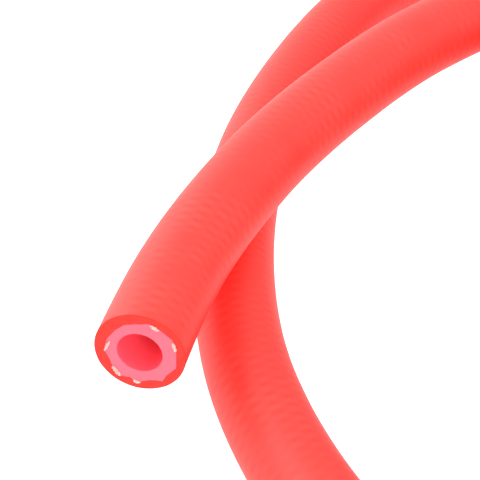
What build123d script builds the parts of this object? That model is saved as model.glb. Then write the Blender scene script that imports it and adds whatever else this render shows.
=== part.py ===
# Coiled air hose: a braided rubber hose with both ends cut square. Most of it is wound into a tied coil,
# and one loose turn swings out beside the coil, where the near end rides over the hose behind it.
# Millimetres, +Z up, standing on z = 0, with the origin in the middle of the whole part's footprint.
import os
from math import cos, isclose, pi, radians, sin, tan

from build123d import *

# Driving dimensions: the hose
hose_diameter = 16.0
bore_diameter = 8.0
liner_wall = 2.1
braid_thickness = 0.4
bond_gap = 0.02  # between bonded layers, so that each one stays a solid of its own

# Driving dimensions: the coil
coil_centre = (26.9, -11.6)
coil_inner_radius = 80.0  # of the innermost turn's centre line
turn_gap = 0.6  # between turns that lie side by side
layer_gap = 0.3  # between the lower and the upper layer
lower_turns = 2.75  # wound inwards on the lower layer
climb_turns = 0.25  # from the lower layer to the upper one
upper_turns = 2 + 7 / 12  # wound outwards on the upper layer
coil_start = -90.0  # degrees, where the hose runs into the coil
points_per_turn = 12

# Driving dimensions: the ties and the cut yarns
tie_angles = (30.0, 150.0, 300.0)  # each across the middle of one of the coil's runs
strap_width = 4.8
strap_thickness = 1.2
strap_gap = 0.2  # between the strap and the turns inside it
head_length = 8.0
head_width = 7.0
head_height = 5.0
head_rounding = 0.6
tail_length = 4.0  # what is left of the strap's tail above the head
yarn_ends = 8
yarn_first_angle = 10.0
yarn_width = 1.8
yarn_diameter = 0.8
yarn_stub = 0.7  # how far a cut yarn stands out of the cut face

# Worked out from the sizes above
hose_radius = hose_diameter / 2
bore_radius = bore_diameter / 2
liner_radius = bore_radius + liner_wall
braid_inner_radius = liner_radius + bond_gap
braid_outer_radius = braid_inner_radius + braid_thickness
cover_inner_radius = braid_outer_radius + bond_gap
lower_height = strap_thickness + strap_gap + hose_radius
upper_height = lower_height + hose_diameter + layer_gap
turn_pitch = hose_diameter + turn_gap

# The loose stretches, from point to point: x, y and how many diameters the hose is lifted off the floor.
# The tail runs from end B round the outside of the coil and through the loose turn to the coil's start.
tail_points = [
    (165.9, -14.3, 0.0),
    (163.9, 18.7, 0.0),
    (154.4, 50.7, 0.0),
    (135.4, 80.2, 0.0),
    (109.9, 105.7, 0.0),
    (76.9, 124.7, 0.0),
    (40.9, 134.7, 0.0),
    (0.9, 137.7, 0.0),
    (-36.1, 135.7, 0.0),
    (-68.1, 126.7, 0.0),
    (-96.1, 111.7, 0.0),
    (-118.1, 89.7, 0.0),
    (-136.6, 54.7, 0.0),
    (-148.6, 17.7, 0.0),
    (-151.1, -17.8, 0.0),
    (-147.1, -49.3, 0.0),
    (-133.6, -80.8, 0.0),
    (-113.1, -105.3, 0.0),
    (-86.1, -123.3, 0.0),
    (-55.1, -132.8, 0.0),
    (-24.1, -136.3, 0.03),
    (8.9, -137.3, 0.08),
]
# The near end leaves the coil's upper layer, rides over the loose turn and stops short in the air at end A.
near_points = [
    (-62.2, 79.6, 1.04),
    (-99.1, 53.3, 1.02),
    (-117.3, 36.7, 1.03),
    (-139.8, 7.5, 1.04),
    (-152.5, -15.2, 1.03),
    (-161.8, -36.5, 0.985),
    (-166.0, -55.5, 1.065),
]


def lifted(points):
    """Centre-line points of a loose stretch."""
    return [Vector(x, y, hose_radius + lift * hose_diameter) for x, y, lift in points]


def coil_spot(turned):
    """Radius and height of the centre line after this many turns of the coil."""
    climbed = min(max((turned - lower_turns) / climb_turns, 0.0), 1.0)
    steps_out = max(lower_turns - turned, 0.0, turned - lower_turns - climb_turns)
    radius = coil_inner_radius + turn_pitch * steps_out
    return radius, lower_height + climbed * (upper_height - lower_height)


def coil_points():
    """Corners of the coil's route, set out so that the middles of its runs lie on the spiral."""
    half_step = 180.0 / points_per_turn
    count = round((lower_turns + climb_turns + upper_turns) * points_per_turn)
    points = []
    for step in range(count):
        turned = (step + 0.5) / points_per_turn
        angle = radians(coil_start + 360.0 * turned)
        radius, height = coil_spot(turned)
        corner = radius / cos(radians(half_step))
        points.append(Vector(coil_centre[0] + corner * cos(angle), coil_centre[1] + corner * sin(angle), height))
    return points


def bend_radii(points):
    """The largest arc at each corner that leaves a tenth of the shorter run straight."""
    radii = []
    for before, corner, after in zip(points, points[1:], points[2:]):
        first = corner - before
        second = after - corner
        half_turn = radians(first.get_angle(second)) / 2
        radii.append(0.45 * min(first.length, second.length) / tan(half_turn))
    return radii


def hose_route():
    """The whole centre line, from end B to end A."""
    points = lifted(tail_points) + coil_points() + lifted(near_points)
    radii = bend_radii(points)
    print("bend radii, mm:", [round(radius) for radius in radii])
    return FilletPolyline(*points, radius=radii)


def end_planes(route):
    """Planes of the two cut faces, with their normals pointing out of the hose."""
    end_b = Plane(origin=route @ 0, z_dir=-(route % 0))
    end_a = Plane(origin=route @ 1, z_dir=route % 1)
    return end_a, end_b


def layer(route, outer_radius, inner_radius):
    """One layer of the hose, swept along the route."""
    start = Plane(origin=route @ 0, z_dir=route % 0)
    ring = start * (Circle(outer_radius) - Circle(inner_radius))
    return sweep(ring, path=route)


def yarn_stubs(cut_face):
    """Flat stubs of cut yarn that stand out of the braid at a cut face."""
    ring_radius = (braid_inner_radius + braid_outer_radius) / 2
    spots = PolarLocations(ring_radius, yarn_ends, start_angle=yarn_first_angle)
    stub = extrude(Rot(0, 0, 90) * SlotOverall(yarn_width, yarn_diameter), yarn_stub)
    return Compound(children=[cut_face * spot * stub for spot in spots])


def tie_plane(angle):
    """Upright plane across the coil, with x pointing away from the coil's centre and y up."""
    outwards = Vector(cos(radians(angle)), sin(radians(angle)), 0)
    return Plane(origin=Vector(*coil_centre, 0), x_dir=outwards, z_dir=outwards.rotate(Axis.Z, -90))


def turns_at(angle):
    """Where the coil's turns cross an upright plane: radius and height of each."""
    all_turns = lower_turns + climb_turns + upper_turns
    turned = ((angle - coil_start) % 360) / 360
    spots = []
    while turned < all_turns:
        spots.append(coil_spot(turned))
        turned += 1
    return spots


def bundle_outline(spots, clearance):
    """Outline of a band pulled tight round the turns, this far outside them."""
    rims = [Pos(*spot) * Edge.make_circle(hose_radius + clearance) for spot in spots]
    return make_hull(rims)


def coil_tie(angle):
    """One nylon tie: a strap round all the turns, with its head on top and its cut tail standing out."""
    spots = turns_at(angle)
    band = bundle_outline(spots, strap_gap + strap_thickness) - bundle_outline(spots, strap_gap)
    strap = extrude(band, strap_width / 2, both=True)
    top_radii = [radius for radius, height in spots if isclose(height, upper_height)]
    middle = (min(top_radii) + max(top_radii)) / 2
    seat = upper_height + hose_radius + strap_gap
    head = Pos(middle, seat + head_height / 2, 0) * Box(head_length, head_height, head_width)
    head = fillet(head.edges(), head_rounding)
    tail = Pos(middle, seat + (head_height + tail_length) / 2, 0)
    tail = tail * Box(strap_thickness, head_height + tail_length, strap_width)
    return tie_plane(angle) * (strap + head + tail)


def report_layer(name, solid, route, outer_radius, inner_radius):
    """Prints a layer's volume against its section times the hose's length."""
    expected = pi * (outer_radius**2 - inner_radius**2) * route.length
    print(f"{name}: volume {solid.volume:.0f} mm3, section times length {expected:.0f} mm3")


def report_end(name, cut_face):
    """Prints where a cut face is and which way it looks."""
    origin = [round(value, 4) for value in cut_face.origin]
    normal = [round(value, 9) for value in cut_face.z_dir]
    print(f"end {name}: centre {origin}, looking along {normal}")


def build():
    """Every piece, by node name."""
    route = hose_route()
    print(f"hose length: {route.length:.0f} mm")
    end_a, end_b = end_planes(route)
    report_end("a", end_a)
    report_end("b", end_b)
    pieces = {
        "cover": layer(route, hose_radius, cover_inner_radius),
        "braid_sleeve": layer(route, braid_outer_radius, braid_inner_radius),
        "inner_tube": layer(route, liner_radius, bore_radius),
        "yarn_ends_a": yarn_stubs(end_a),
        "yarn_ends_b": yarn_stubs(end_b),
    }
    report_layer("cover", pieces["cover"], route, hose_radius, cover_inner_radius)
    report_layer("braid_sleeve", pieces["braid_sleeve"], route, braid_outer_radius, braid_inner_radius)
    report_layer("inner_tube", pieces["inner_tube"], route, liner_radius, bore_radius)
    for number, angle in enumerate(tie_angles, start=1):
        pieces[f"coil_tie_{number}"] = coil_tie(angle)
    return pieces


os.makedirs("parts", exist_ok=True)
for name, piece in build().items():
    export_step(piece, f"parts/{name}.step")
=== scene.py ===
import math
import random

import bmesh
import bpy
import numpy as np
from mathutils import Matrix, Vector, noise


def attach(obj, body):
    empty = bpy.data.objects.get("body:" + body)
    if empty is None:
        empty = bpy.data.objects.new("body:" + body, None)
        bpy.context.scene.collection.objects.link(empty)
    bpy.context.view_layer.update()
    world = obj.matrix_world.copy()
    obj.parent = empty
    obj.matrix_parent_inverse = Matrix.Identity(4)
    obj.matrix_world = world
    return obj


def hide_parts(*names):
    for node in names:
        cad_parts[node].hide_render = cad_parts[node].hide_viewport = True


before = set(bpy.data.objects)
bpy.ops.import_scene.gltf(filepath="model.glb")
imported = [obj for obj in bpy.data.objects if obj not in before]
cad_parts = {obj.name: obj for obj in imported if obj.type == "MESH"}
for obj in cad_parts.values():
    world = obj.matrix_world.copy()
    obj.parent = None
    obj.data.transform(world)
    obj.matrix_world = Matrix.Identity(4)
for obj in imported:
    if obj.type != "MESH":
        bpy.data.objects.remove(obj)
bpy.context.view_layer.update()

mm = 0.001

hose = {
    "diameter": 16 * mm,
    "bore": 8 * mm,
    "linerWall": 2.1 * mm,
    "braidThickness": 0.4 * mm,
    "bondGap": 0.02 * mm,
    "length": 4.5,
    "stepsPerPoint": 24,         # how finely its line is read from the spline
}
coil = {
    "centre": (0.0269, -0.0116),
    "innerRadius": 0.080,
    "turnGap": 0.0006,
    "layerGap": 0.0003,
    "liftOffFloor": 0.0014,      # the ties pass under the lower layer
    "lowerTurns": 2.75,
    "climbTurns": 0.25,
    "upperTurns": 2 + 7 / 12,
    "startAngle": -90,
    "pointsPerTurn": 12,
}

# x, y and how many diameters the hose is lifted off the floor
tailPoints = [
    (0.1659, -0.0143, 0.0),
    (0.1639, 0.0187, 0.0),
    (0.1544, 0.0507, 0.0),
    (0.1354, 0.0802, 0.0),
    (0.1099, 0.1057, 0.0),
    (0.0769, 0.1247, 0.0),
    (0.0409, 0.1347, 0.0),
    (0.0009, 0.1377, 0.0),
    (-0.0361, 0.1357, 0.0),
    (-0.0681, 0.1267, 0.0),
    (-0.0961, 0.1117, 0.0),
    (-0.1181, 0.0897, 0.0),
    (-0.1366, 0.0547, 0.0),
    (-0.1486, 0.0177, 0.0),
    (-0.1511, -0.0178, 0.0),
    (-0.1471, -0.0493, 0.0),
    (-0.1336, -0.0808, 0.0),
    (-0.1131, -0.1053, 0.0),
    (-0.0861, -0.1233, 0.0),
    (-0.0551, -0.1328, 0.0),
    (-0.0241, -0.1363, 0.03),
    (0.0089, -0.1373, 0.08),
]
nearPoints = [
    (-0.0622, 0.0796, 1.04),
    (-0.0991, 0.0533, 1.02),
    (-0.1173, 0.0367, 1.03),
    (-0.1398, 0.0075, 1.04),
    (-0.1525, -0.0152, 1.03),
    (-0.1618, -0.0365, 0.985),
    (-0.1660, -0.0555, 1.065),
]


def loosePoints(points):
    return [Vector((x, y, hose["diameter"] * (0.5 + lift))) for x, y, lift in points]


def coilPoints():
    pitch = hose["diameter"] + coil["turnGap"]
    lowHeight = hose["diameter"] / 2 + coil["liftOffFloor"]
    rise = hose["diameter"] + coil["layerGap"]
    halfStep = math.pi / coil["pointsPerTurn"]
    allTurns = coil["lowerTurns"] + coil["climbTurns"] + coil["upperTurns"]
    points = []
    for step in range(round(allTurns * coil["pointsPerTurn"])):
        turned = (step + 0.5) / coil["pointsPerTurn"]
        angle = math.radians(coil["startAngle"]) + 2 * math.pi * turned
        climbed = min(max((turned - coil["lowerTurns"]) / coil["climbTurns"], 0), 1)
        stepsOut = max(coil["lowerTurns"] - turned, 0, turned - coil["lowerTurns"] - coil["climbTurns"])
        corner = (coil["innerRadius"] + pitch * stepsOut) / math.cos(halfStep)
        x = coil["centre"][0] + corner * math.cos(angle)
        y = coil["centre"][1] + corner * math.sin(angle)
        points.append(Vector((x, y, lowHeight + climbed * rise)))
    return points


def readSpline(points):
    # the hose's own line, read from a NURBS spline that the route's points steer
    curve = bpy.data.curves.new("hoseLine", "CURVE")
    curve.dimensions = "3D"
    curve.resolution_u = hose["stepsPerPoint"]
    spline = curve.splines.new("NURBS")
    spline.points.add(len(points) - 1)
    for splinePoint, place in zip(spline.points, points):
        splinePoint.co = (*place, 1)
    spline.order_u = 3
    spline.use_endpoint_u = True
    holder = bpy.data.objects.new("hoseLine", curve)
    bpy.context.collection.objects.link(holder)
    mesh = bpy.data.meshes.new_from_object(holder)
    line = np.array([vertex.co for vertex in mesh.vertices])
    bpy.data.objects.remove(holder)
    bpy.data.curves.remove(curve)
    bpy.data.meshes.remove(mesh)
    return line


def alongLine(line):
    # distance and heading at each point, and a side vector carried back from the near end without twisting
    steps = np.linalg.norm(np.diff(line, axis=0), axis=1)
    distance = np.r_[0, np.cumsum(steps)]
    heading = np.gradient(line, distance, axis=0)
    heading /= np.linalg.norm(heading, axis=1)[:, None]
    side = np.zeros_like(line)
    side[-1] = np.cross(heading[-1], (0, 0, 1))
    side[-1] /= np.linalg.norm(side[-1])
    for i in range(len(line) - 2, -1, -1):
        carried = side[i + 1] - heading[i] * np.dot(side[i + 1], heading[i])
        side[i] = carried / np.linalg.norm(carried)
    return {"distance": distance, "line": line, "heading": heading, "side": side}


def stationAt(run, distance):
    place = np.array([np.interp(distance, run["distance"], run["line"][:, k]) for k in range(3)])
    heading = np.array([np.interp(distance, run["distance"], run["heading"][:, k]) for k in range(3)])
    heading /= np.linalg.norm(heading)
    side = np.array([np.interp(distance, run["distance"], run["side"][:, k]) for k in range(3)])
    side -= heading * np.dot(side, heading)
    side /= np.linalg.norm(side)
    return place, heading, side, np.cross(side, heading)


route = loosePoints(tailPoints) + coilPoints() + loosePoints(nearPoints)
run = alongLine(readSpline(route))
fullLength = float(run["distance"][-1])
print(f"route: {len(route)} points, {fullLength:.3f} m of hose")


def hexColour(code):
    parts = [int(code[i:i + 2], 16) / 255 for i in (0, 2, 4)]
    return [c / 12.92 if c <= 0.04045 else ((c + 0.055) / 1.055) ** 2.4 for c in parts] + [1]


def addNode(material, kind, settings=None, links=None):
    node = material.node_tree.nodes.new(kind)
    for key, value in (settings or {}).items():
        if isinstance(key, int) or key in node.inputs:
            node.inputs[key].default_value = value
        else:
            setattr(node, key, value)
    for socket, source in (links or {}).items():
        material.node_tree.links.new(source, node.inputs[socket])
    return node


def calculate(material, operation, *terms):
    # a Math node: each term is a number or another node's output
    numbers = {i: term for i, term in enumerate(terms) if isinstance(term, (int, float))}
    sources = {i: term for i, term in enumerate(terms) if i not in numbers}
    return addNode(material, "ShaderNodeMath", {"operation": operation, **numbers}, sources).outputs[0]


def newMaterial(name, look):
    material = bpy.data.materials.new(name)
    material.use_nodes = True
    shader = material.node_tree.nodes["Principled BSDF"]
    shader.inputs["Base Color"].default_value = hexColour(look["colour"])
    shader.inputs["Roughness"].default_value = look["roughness"]
    shader.inputs["IOR"].default_value = look["ior"]
    for socket, value in look.get("more", {}).items():
        shader.inputs[socket].default_value = value
    return material, shader


drifting = {
    "noise": {"Detail": 3.0, "Roughness": 0.55},
    "roughnessRange": {"From Min": 0.3, "From Max": 0.7},
    "weaveRange": {"From Min": 0.35, "From Max": 0.6},
}


def twoTone(material, shader, look, coords):
    # slow drift between two tones of the same compound, and between a little more and a little less shine
    drift = addNode(material, "ShaderNodeTexNoise", {"Scale": 1 / look["patch"], **drifting["noise"]},
                    {"Vector": coords})
    # sockets 6 and 7 of a colour mix are its two colours, and its output 2 is the mixed one
    tones = addNode(material, "ShaderNodeMix", {"data_type": "RGBA"}, {0: drift.outputs["Fac"]})
    tones.inputs[6].default_value = hexColour(look["colour"])
    tones.inputs[7].default_value = hexColour(look["otherColour"])
    material.node_tree.links.new(tones.outputs[2], shader.inputs["Base Color"])
    rough = addNode(material, "ShaderNodeMapRange",
                    {**drifting["roughnessRange"], "To Min": look["roughness"] - look["roughnessDrift"],
                     "To Max": look["roughness"] + look["roughnessDrift"]}, {"Value": drift.outputs["Fac"]})
    material.node_tree.links.new(rough.outputs[0], shader.inputs["Roughness"])
    return drift, tones


def addBump(material, shader, height, distance):
    bump = addNode(material, "ShaderNodeBump", {"Distance": distance, "Strength": 1.0}, {"Height": height})
    material.node_tree.links.new(bump.outputs[0], shader.inputs["Normal"])


# extruded rubber cover: a satin red that pales at its rims, with the braid under it as a faint lattice
coverLook = {
    "colour": "F8241D",
    "otherColour": "FF3C33",
    "roughness": 0.55,
    "roughnessDrift": 0.05,
    "ior": 1.45,
    "patch": 9 * mm,
    "braidYarns": 8,             # yarns each way round
    "otherWay": 0.92,            # the yarns that wind the other way show a little less
    "braidPitch": 2.3 * mm,      # from yarn to yarn along the hose
    "braidRelief": 0.005 * mm,
    "braidTint": 0.17,           # how far the weave swings the colour between the two tones
    "more": {"Specular IOR Level": 0.45},
}


def makeCoverRubber(look, name):
    material, shader = newMaterial(name, look)
    coords = addNode(material, "ShaderNodeTexCoord").outputs["Object"]
    drift, tones = twoTone(material, shader, look, coords)
    # two sets of slanting stripes, one for the yarns that wind each way
    uv = addNode(material, "ShaderNodeUVMap", {"uv_map": "hoseUV"}).outputs[0]
    split = addNode(material, "ShaderNodeSeparateXYZ", {}, {0: uv})
    around = calculate(material, "MULTIPLY", split.outputs[0], 2 * math.pi * look["braidYarns"])
    stripes = []
    for direction in (1, -1):
        alongHose = direction * 2 * math.pi / look["braidPitch"]
        phase = calculate(material, "MULTIPLY_ADD", split.outputs[1], alongHose, around)
        stripes.append(calculate(material, "SINE", phase))
    weave = calculate(material, "MULTIPLY_ADD", stripes[1], look["otherWay"], stripes[0])
    # the weave fades in and out with the drift
    strength = addNode(material, "ShaderNodeMapRange", drifting["weaveRange"],
                       {"Value": drift.outputs["Fac"]})
    relief = calculate(material, "MULTIPLY", weave, strength.outputs[0])
    tint = calculate(material, "MULTIPLY_ADD", relief, look["braidTint"], drift.outputs["Fac"])
    material.node_tree.links.new(tint, tones.inputs[0])
    addBump(material, shader, relief, look["braidRelief"])
    return material


# the cover's rubber where the knife went through: duller than the skin, with a fine torn grain
cutLook = {
    "colour": "FF2A20",
    "otherColour": "F5221A",
    "roughness": 0.65,
    "roughnessDrift": 0.06,
    "ior": 1.5,
    "patch": 2 * mm,
    "grain": 0.35 * mm,
    "grainRelief": 0.03 * mm,
    "more": {"Specular IOR Level": 0.25},
}
grainNoise = {"Detail": 4.0}


def makeGrained(look, name):
    # for everything but the cover's skin: two tones with a fine grain in the surface
    material, shader = newMaterial(name, look)
    coords = addNode(material, "ShaderNodeTexCoord").outputs["Object"]
    twoTone(material, shader, look, coords)
    grain = addNode(material, "ShaderNodeTexNoise", {"Scale": 1 / look["grain"], **grainNoise},
                    {"Vector": coords})
    addBump(material, shader, grain.outputs["Fac"], look["grainRelief"])
    return material


# pink liner rubber: paler and softer than the cover, with light going a little way into it
linerLook = {
    "colour": "FF5B6C",
    "otherColour": "FF5062",
    "roughness": 0.55,
    "roughnessDrift": 0.05,
    "ior": 1.5,
    "patch": 3 * mm,
    "grain": 0.5 * mm,
    "grainRelief": 0.02 * mm,
    "more": {"Subsurface Weight": 0.2, "Subsurface Radius": (0.002, 0.0008, 0.0008),
             "Subsurface Scale": 1.0, "Specular IOR Level": 0.35},
}
# polyester yarn: matt, in a pinkish white whose pink is painted red light bounced off the rubber round it,
# with a soft sheen on its filaments
yarnLook = {
    "colour": "E6BDB2",
    "otherColour": "DBA79C",
    "roughness": 0.75,
    "roughnessDrift": 0.05,
    "ior": 1.55,
    "patch": 0.5 * mm,
    "grain": 0.15 * mm,
    "grainRelief": 0.02 * mm,
    "more": {"Sheen Weight": 0.4, "Sheen Roughness": 0.3},
}
# moulded nylon: milky and a little waxy, in a grey that the strong light lifts to off-white
tieLook = {
    "colour": "B0AA99",
    "otherColour": "A59E8B",
    "roughness": 0.4,
    "roughnessDrift": 0.06,
    "ior": 1.53,
    "patch": 4 * mm,
    "grain": 0.4 * mm,
    "grainRelief": 0.01 * mm,
    "more": {"Subsurface Weight": 0.2, "Subsurface Radius": (0.001, 0.001, 0.0008),
             "Subsurface Scale": 1.0},
}
coverRubber = makeCoverRubber(coverLook, "extrudedRubberCover")
cutRubber = makeGrained(cutLook, "knifeCutRubber")
linerRubber = makeGrained(linerLook, "pinkLinerRubber")
polyesterYarn = makeGrained(yarnLook, "polyesterYarn")
nylon = makeGrained(tieLook, "mouldedNylon")
print("materials made")

cover = {
    "outer": hose["diameter"] / 2,
    "inner": hose["bore"] / 2 + hose["linerWall"] + hose["braidThickness"] + 2 * hose["bondGap"],
    "outerEdge": 0.16 * mm,
    "innerEdge": 0.05 * mm,
    "segments": 72,
    "firstStep": 0.8 * mm,       # from a cut to the first ring
    "fineStep": 1.6 * mm,        # near both cuts and on the loose side
    "coarseStep": 7 * mm,        # everywhere else
    "nearCut": 12 * mm,
    "looseSide": -0.085,         # the loose side lies to the left of this x
    "wobble": 0.05 * mm,
    "wobbleSize": 14 * mm,
    "floorSide": 2 * mm,         # below this the cover only swells inwards
}
liner = {
    "outer": hose["bore"] / 2 + hose["linerWall"],
    "inner": hose["bore"] / 2,
    "outerEdge": 0.05 * mm,
    "innerEdge": 0.08 * mm,
}
braid = {
    "outer": liner["outer"] + hose["bondGap"] + hose["braidThickness"],
    "inner": liner["outer"] + hose["bondGap"],
    "outerEdge": 0.1 * mm,
    "innerEdge": 0.1 * mm,
    "setBack": 3 * mm,           # the sleeve stops here, and single yarns go on to the cut
}
# rings of the surfaces that are seen only at the cuts
hidden = {"step": 12 * mm, "firstSteps": (0.8 * mm, 1.6 * mm, 3 * mm, 6 * mm)}
cut = {
    "grain": 0.9 * mm,
    "relief": 0.07 * mm,
    "jointDepth": 1.3 * mm,      # how soon the joint gets round again behind the cut
    "edgeArc": (0, 30, 60, 90),  # degrees round a softened edge
    "wallRings": (0.25, 0.5, 0.75),
}
weldDistance = 0.0001 * mm

# the joint of cover and liner on each cut face, pressed out of round by the yarns:
# degrees round the hose, then radius
nearJoint = [
    (3, 6.15 * mm), (20, 5.95 * mm), (45, 5.85 * mm), (66, 6.1 * mm), (105, 6.75 * mm), (125, 6.6 * mm),
    (147, 6.9 * mm), (167, 6.55 * mm), (199, 6.7 * mm), (224, 6.25 * mm), (235, 6.85 * mm), (244, 6.25 * mm),
    (256, 6.05 * mm), (269, 6.4 * mm), (277, 7.0 * mm), (286, 6.05 * mm), (300, 6.75 * mm), (306, 7.1 * mm),
    (316, 6.5 * mm), (335, 5.85 * mm), (350, 6.1 * mm),
]
farJoint = [
    (8, 6.5 * mm), (31, 6.0 * mm), (52, 6.8 * mm), (84, 6.2 * mm), (118, 6.7 * mm), (141, 6.05 * mm),
    (173, 6.6 * mm), (205, 6.1 * mm), (228, 6.9 * mm), (262, 6.25 * mm), (291, 6.65 * mm), (330, 6.0 * mm),
]


def smoothNoise(place, size):
    return noise.noise(Vector(place) / size)


def jointRadius(angle, joint):
    # straight facets from corner to corner
    corners = [(math.radians(place), radius) for place, radius in joint]
    corners.append((corners[0][0] + 2 * math.pi, corners[0][1]))
    angle = (angle - corners[0][0]) % (2 * math.pi) + corners[0][0]
    for (first, firstRadius), (last, lastRadius) in zip(corners, corners[1:]):
        if first <= angle <= last:
            chord = firstRadius * math.sin(angle - first) + lastRadius * math.sin(last - angle)
            return firstRadius * lastRadius * math.sin(last - first) / chord
    return corners[0][1]


def hiddenSteps(start, end):
    first = [start + step for step in hidden["firstSteps"]]
    last = [end - step for step in reversed(hidden["firstSteps"])]
    count = round((last[0] - first[-1]) / hidden["step"])
    return first + list(np.linspace(first[-1], last[0], count + 1))[1:-1] + last


def skinSteps(start, end):
    steps = []
    distance = start + cover["firstStep"]
    while distance < end - cover["firstStep"]:
        steps.append(distance)
        x = np.interp(distance, run["distance"], run["line"][:, 0])
        fine = x < cover["looseSide"] or min(distance - start, end - distance) < cover["nearCut"]
        distance += cover["fineStep"] if fine else cover["coarseStep"]
    return steps


def roundedFace(end, inwards, layer, jointOutside):
    # rows over a cut face, from its outside to its inside:
    # distance, radius, finish (1 is the cut), share of the joint's shape
    span = layer["outer"] - layer["inner"]
    outerEdge, innerEdge = layer["outerEdge"], layer["innerEdge"]
    arc = [math.radians(degrees) for degrees in cut["edgeArc"]]
    rows = [(end + inwards * outerEdge * (1 - math.sin(a)), layer["outer"] - outerEdge * (1 - math.cos(a)))
            for a in arc]
    rows += [(end, layer["outer"] - part * span) for part in cut["wallRings"]]
    rows += [(end + inwards * innerEdge * (1 - math.sin(a)), layer["inner"] + innerEdge * (1 - math.cos(a)))
             for a in reversed(arc)]
    shares = [(radius - layer["inner"]) / span for distance, radius in rows]
    if not jointOutside:
        shares = [1 - share for share in shares]
    return [(*row, 1, share) for row, share in zip(rows, shares)]


def layerRows(layer, outerSteps, innerSteps, start, end, jointOutside):
    outerShare, innerShare = (1, 0) if jointOutside else (0, 1)
    rows = [(distance, layer["outer"], 0, outerShare) for distance in outerSteps]
    rows += roundedFace(end, -1, layer, jointOutside)
    rows += [(distance, layer["inner"], 0, innerShare) for distance in reversed(innerSteps)]
    rows += reversed(roundedFace(start, 1, layer, jointOutside))
    return rows


def tubeAlong(name, rows, segments, materials, wobble=0, joint=None):
    # a rolled-up grid: each row of its points is a ring, and the last ring closes on the first;
    # the materials are those of its skin and its cuts
    bm = bmesh.new()
    uvLayer = bm.loops.layers.uv.new("hoseUV")
    bmesh.ops.create_grid(bm, x_segments=segments, y_segments=len(rows), size=1, calc_uvs=True)
    bm.verts.ensure_lookup_table()
    turns = [2 * math.pi * (i % segments) / segments for i in range(segments + 1)]
    farOutline = [jointRadius(turn, farJoint) for turn in turns]
    nearOutline = [jointRadius(turn, nearJoint) for turn in turns]
    for j, (distance, radius, finish, share) in enumerate(rows + rows[:1]):
        place, heading, side, up = stationAt(run, distance)
        nearHalf = distance > fullLength / 2
        outline = nearOutline if nearHalf else farOutline
        depth = fullLength - distance if nearHalf else distance
        pull = share * math.exp(-((depth / cut["jointDepth"]) ** 2)) if joint else 0
        for i, turn in enumerate(turns):
            outwards = side * math.cos(turn) + up * math.sin(turn)
            reach = radius + pull * (outline[i] - joint) if pull else radius
            spot = place + outwards * reach
            if finish == 1:
                spot = spot + heading * cut["relief"] * smoothNoise(spot, cut["grain"])
            elif wobble and share == 0:
                swell = wobble * smoothNoise(spot, cover["wobbleSize"])
                spot = spot + outwards * (min(swell, 0) if spot[2] < cover["floorSide"] else swell)
            bm.verts[j * (segments + 1) + i].co = spot
    for face in bm.faces:
        row = face.loops[0].vert.index // (segments + 1)
        face.smooth = True
        face.material_index = rows[row][2]
        for loop in face.loops:
            loopRow = loop.vert.index // (segments + 1)
            loop[uvLayer].uv.y = rows[loopRow % len(rows)][0]
    bmesh.ops.remove_doubles(bm, verts=bm.verts, dist=weldDistance)
    bmesh.ops.recalc_face_normals(bm, faces=bm.faces)
    mesh = bpy.data.meshes.new(name)
    bm.to_mesh(mesh)
    bm.free()
    for material in materials:
        mesh.materials.append(material)
    piece = bpy.data.objects.new(name, mesh)
    bpy.context.collection.objects.link(piece)
    print(f"{name}: {len(rows)} rings, {2 * len(mesh.polygons)} triangles")
    return piece


innerSteps = hiddenSteps(0, fullLength)
coverRows = layerRows(cover, skinSteps(0, fullLength), innerSteps, 0, fullLength, False)
coverTube = tubeAlong("coverTube", coverRows, cover["segments"], [coverRubber, cutRubber],
                      cover["wobble"], cover["inner"])
linerRows = layerRows(liner, innerSteps, innerSteps, 0, fullLength, True)
linerTube = tubeAlong("linerTube", linerRows, cover["segments"], [linerRubber, linerRubber],
                      0, liner["outer"])
sleeveStart, sleeveEnd = braid["setBack"], fullLength - braid["setBack"]
sleeveSteps = hiddenSteps(sleeveStart, sleeveEnd)
braidRows = layerRows(braid, sleeveSteps, sleeveSteps, sleeveStart, sleeveEnd, False)
braidSleeve = tubeAlong("braidSleeve", braidRows, cover["segments"], [polyesterYarn, polyesterYarn])

# degrees round the hose, radius, width, thickness, and how far it is turned from lying round the hose
nearYarns = [
    (311, 6.45 * mm, 2.2 * mm, 0.75 * mm, 14),
    (276, 6.55 * mm, 1.3 * mm, 0.5 * mm, 6),
    (4, 5.7 * mm, 2.4 * mm, 0.45 * mm, 20),
    (115, 6.4 * mm, 1.8 * mm, 0.6 * mm, 4),
    (159, 6.5 * mm, 1.8 * mm, 0.55 * mm, 6),
]
farYarns = [
    (20, 6.3 * mm, 1.9 * mm, 0.7 * mm, 8),
    (57, 6.5 * mm, 2.2 * mm, 0.6 * mm, -6),
    (112, 6.4 * mm, 1.6 * mm, 0.6 * mm, 12),
    (158, 6.2 * mm, 2.0 * mm, 0.7 * mm, -15),
    (216, 6.4 * mm, 1.7 * mm, 0.5 * mm, 5),
    (250, 6.5 * mm, 2.1 * mm, 0.7 * mm, -10),
    (305, 6.3 * mm, 1.8 * mm, 0.6 * mm, 9),
]
tuft = {
    "filaments": 64,
    "filamentRadius": 0.08 * mm,
    "sides": 6,
    "length": (0.08 * mm, 0.22 * mm),    # how far they stand out of the cut
    "shorterOutside": 0.4,
    "rootDepth": 1.2 * mm,
    "splay": 0.08,
    "seed": 11,
}


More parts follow.
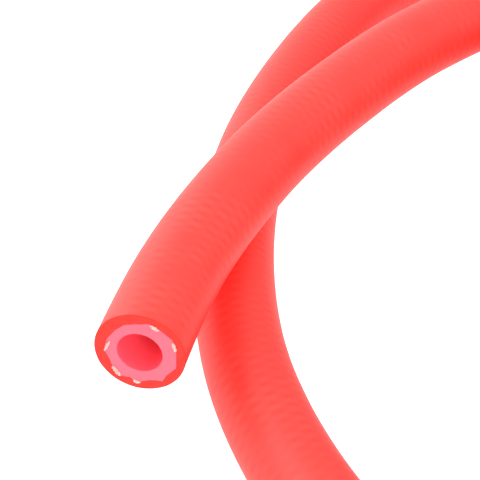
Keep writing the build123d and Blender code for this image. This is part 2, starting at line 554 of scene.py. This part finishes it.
def yarnTufts(name, distance, outwards, yarns, look):
    chance = random.Random(look["seed"])
    bm = bmesh.new()
    place, heading, side, up = stationAt(run, distance)
    out = heading * outwards
    for degrees, radius, width, thickness, turned in yarns:
        angle = math.radians(degrees)
        radial = side * math.cos(angle) + up * math.sin(angle)
        around = np.cross(heading, radial)
        turn = math.radians(turned)
        wide = around * math.cos(turn) + radial * math.sin(turn)
        thick = radial * math.cos(turn) - around * math.sin(turn)
        centre = place + radial * radius
        for _ in range(look["filaments"]):
            reach = math.sqrt(chance.random())
            spin = chance.uniform(0, 2 * math.pi)
            across = wide * (reach * math.cos(spin) * width / 2)
            across = across + thick * (reach * math.sin(spin) * thickness / 2)
            root = centre + across - out * look["rootDepth"]
            stray = wide * chance.uniform(-1, 1) + thick * chance.uniform(-1, 1)
            standing = chance.uniform(*look["length"]) * (1 - look["shorterOutside"] * reach)
            length = look["rootDepth"] + standing
            tip = root + (out + stray * look["splay"] * chance.random() ** 2) * length
            shaft = Vector(tip - root)
            made = bmesh.ops.create_cone(bm, cap_ends=True, segments=look["sides"], depth=shaft.length,
                                         radius1=look["filamentRadius"], radius2=look["filamentRadius"])
            bmesh.ops.rotate(bm, verts=made["verts"], cent=(0, 0, 0),
                             matrix=shaft.to_track_quat("Z", "Y").to_matrix())
            bmesh.ops.translate(bm, verts=made["verts"], vec=Vector(root + tip) / 2)
    mesh = bpy.data.meshes.new(name)
    bm.to_mesh(mesh)
    bm.free()
    mesh.materials.append(polyesterYarn)
    piece = bpy.data.objects.new(name, mesh)
    bpy.context.collection.objects.link(piece)
    print(f"{name}: {len(mesh.polygons)} faces")
    return piece


nearTufts = yarnTufts("nearYarnEnds", fullLength, 1, nearYarns, tuft)
farTufts = yarnTufts("farYarnEnds", 0, -1, farYarns, {**tuft, "seed": 23})

ties = [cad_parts[name] for name in sorted(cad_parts) if name.startswith("coil_tie")]
for tie in ties:
    tie.data.materials.clear()
    tie.data.materials.append(nylon)
print(f"{len(ties)} ties finished")

for piece, node, slotName in (
    (coverTube, "cover", "cover"),
    (linerTube, "inner_tube", "liner"),
    (braidSleeve, "braid_sleeve", "braid"),
    (nearTufts, "yarn_ends_a", "braid"),
    (farTufts, "yarn_ends_b", "braid"),
):
    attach(piece, "root")
    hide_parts(node)

white = (1, 1, 1, 1)
# the light is strong enough for the red to reach full strength almost everywhere
studio = {
    "floorSize": 12,
    "floorLook": {"colour": "A0A0A0", "roughness": 0.9, "ior": 1.4},
    "floorGlow": 1.1,            # it gives off light, so it stays white up to the hose and shows no shadow
    "worldStrength": 1.4,
    "keyPower": 9,
    "keySize": 0.8,
    "keyPlace": (-0.85, 0.5, 0.65),
    "fillPower": 7.5,
    "fillSize": 0.8,
    "fillPlace": (0.15, -1.0, 0.45),
    "aim": (-0.13, 0.0, 0.01),
}
view = {
    "place": (-0.1491, -0.2344, 0.1971),
    "downwards": 39.5,
    "lens": 110.3625,            # mm, as is the sensor
    "sensor": 36,
    "clipStart": 0.01,
}


def makeFloor(look):
    bm = bmesh.new()
    bmesh.ops.create_grid(bm, x_segments=1, y_segments=1, size=look["floorSize"] / 2)
    mesh = bpy.data.meshes.new("paleFloor")
    bm.to_mesh(mesh)
    bm.free()
    # pale matt board, lit from within
    material, shader = newMaterial("paleFloor", look["floorLook"])
    shader.inputs["Emission Color"].default_value = white
    shader.inputs["Emission Strength"].default_value = look["floorGlow"]
    mesh.materials.append(material)
    floor = bpy.data.objects.new("paleFloor", mesh)
    bpy.context.collection.objects.link(floor)


def softBox(name, place, size, power):
    light = bpy.data.lights.new(name, "AREA")
    light.shape = "DISK"
    light.size = size
    light.energy = power
    lamp = bpy.data.objects.new(name, light)
    bpy.context.collection.objects.link(lamp)
    lamp.location = place
    lamp.rotation_euler = (Vector(studio["aim"]) - Vector(place)).to_track_quat("-Z", "Y").to_euler()


makeFloor(studio)
world = bpy.data.worlds.new("softWorld")
world.use_nodes = True
world.node_tree.nodes["Background"].inputs[0].default_value = white
world.node_tree.nodes["Background"].inputs[1].default_value = studio["worldStrength"]
bpy.context.scene.world = world
softBox("keyLight", studio["keyPlace"], studio["keySize"], studio["keyPower"])
softBox("fillLight", studio["fillPlace"], studio["fillSize"], studio["fillPower"])

lens = bpy.data.cameras.new("camera")
lens.sensor_width = view["sensor"]
lens.lens = view["lens"]
lens.clip_start = view["clipStart"]
camera = bpy.data.objects.new("camera", lens)
bpy.context.collection.objects.link(camera)
camera.location = view["place"]
camera.rotation_euler = (math.radians(90 - view["downwards"]), 0, 0)
bpy.context.scene.camera = camera
bpy.context.scene.view_settings.view_transform = "Standard"
print("floor, lights and camera placed")
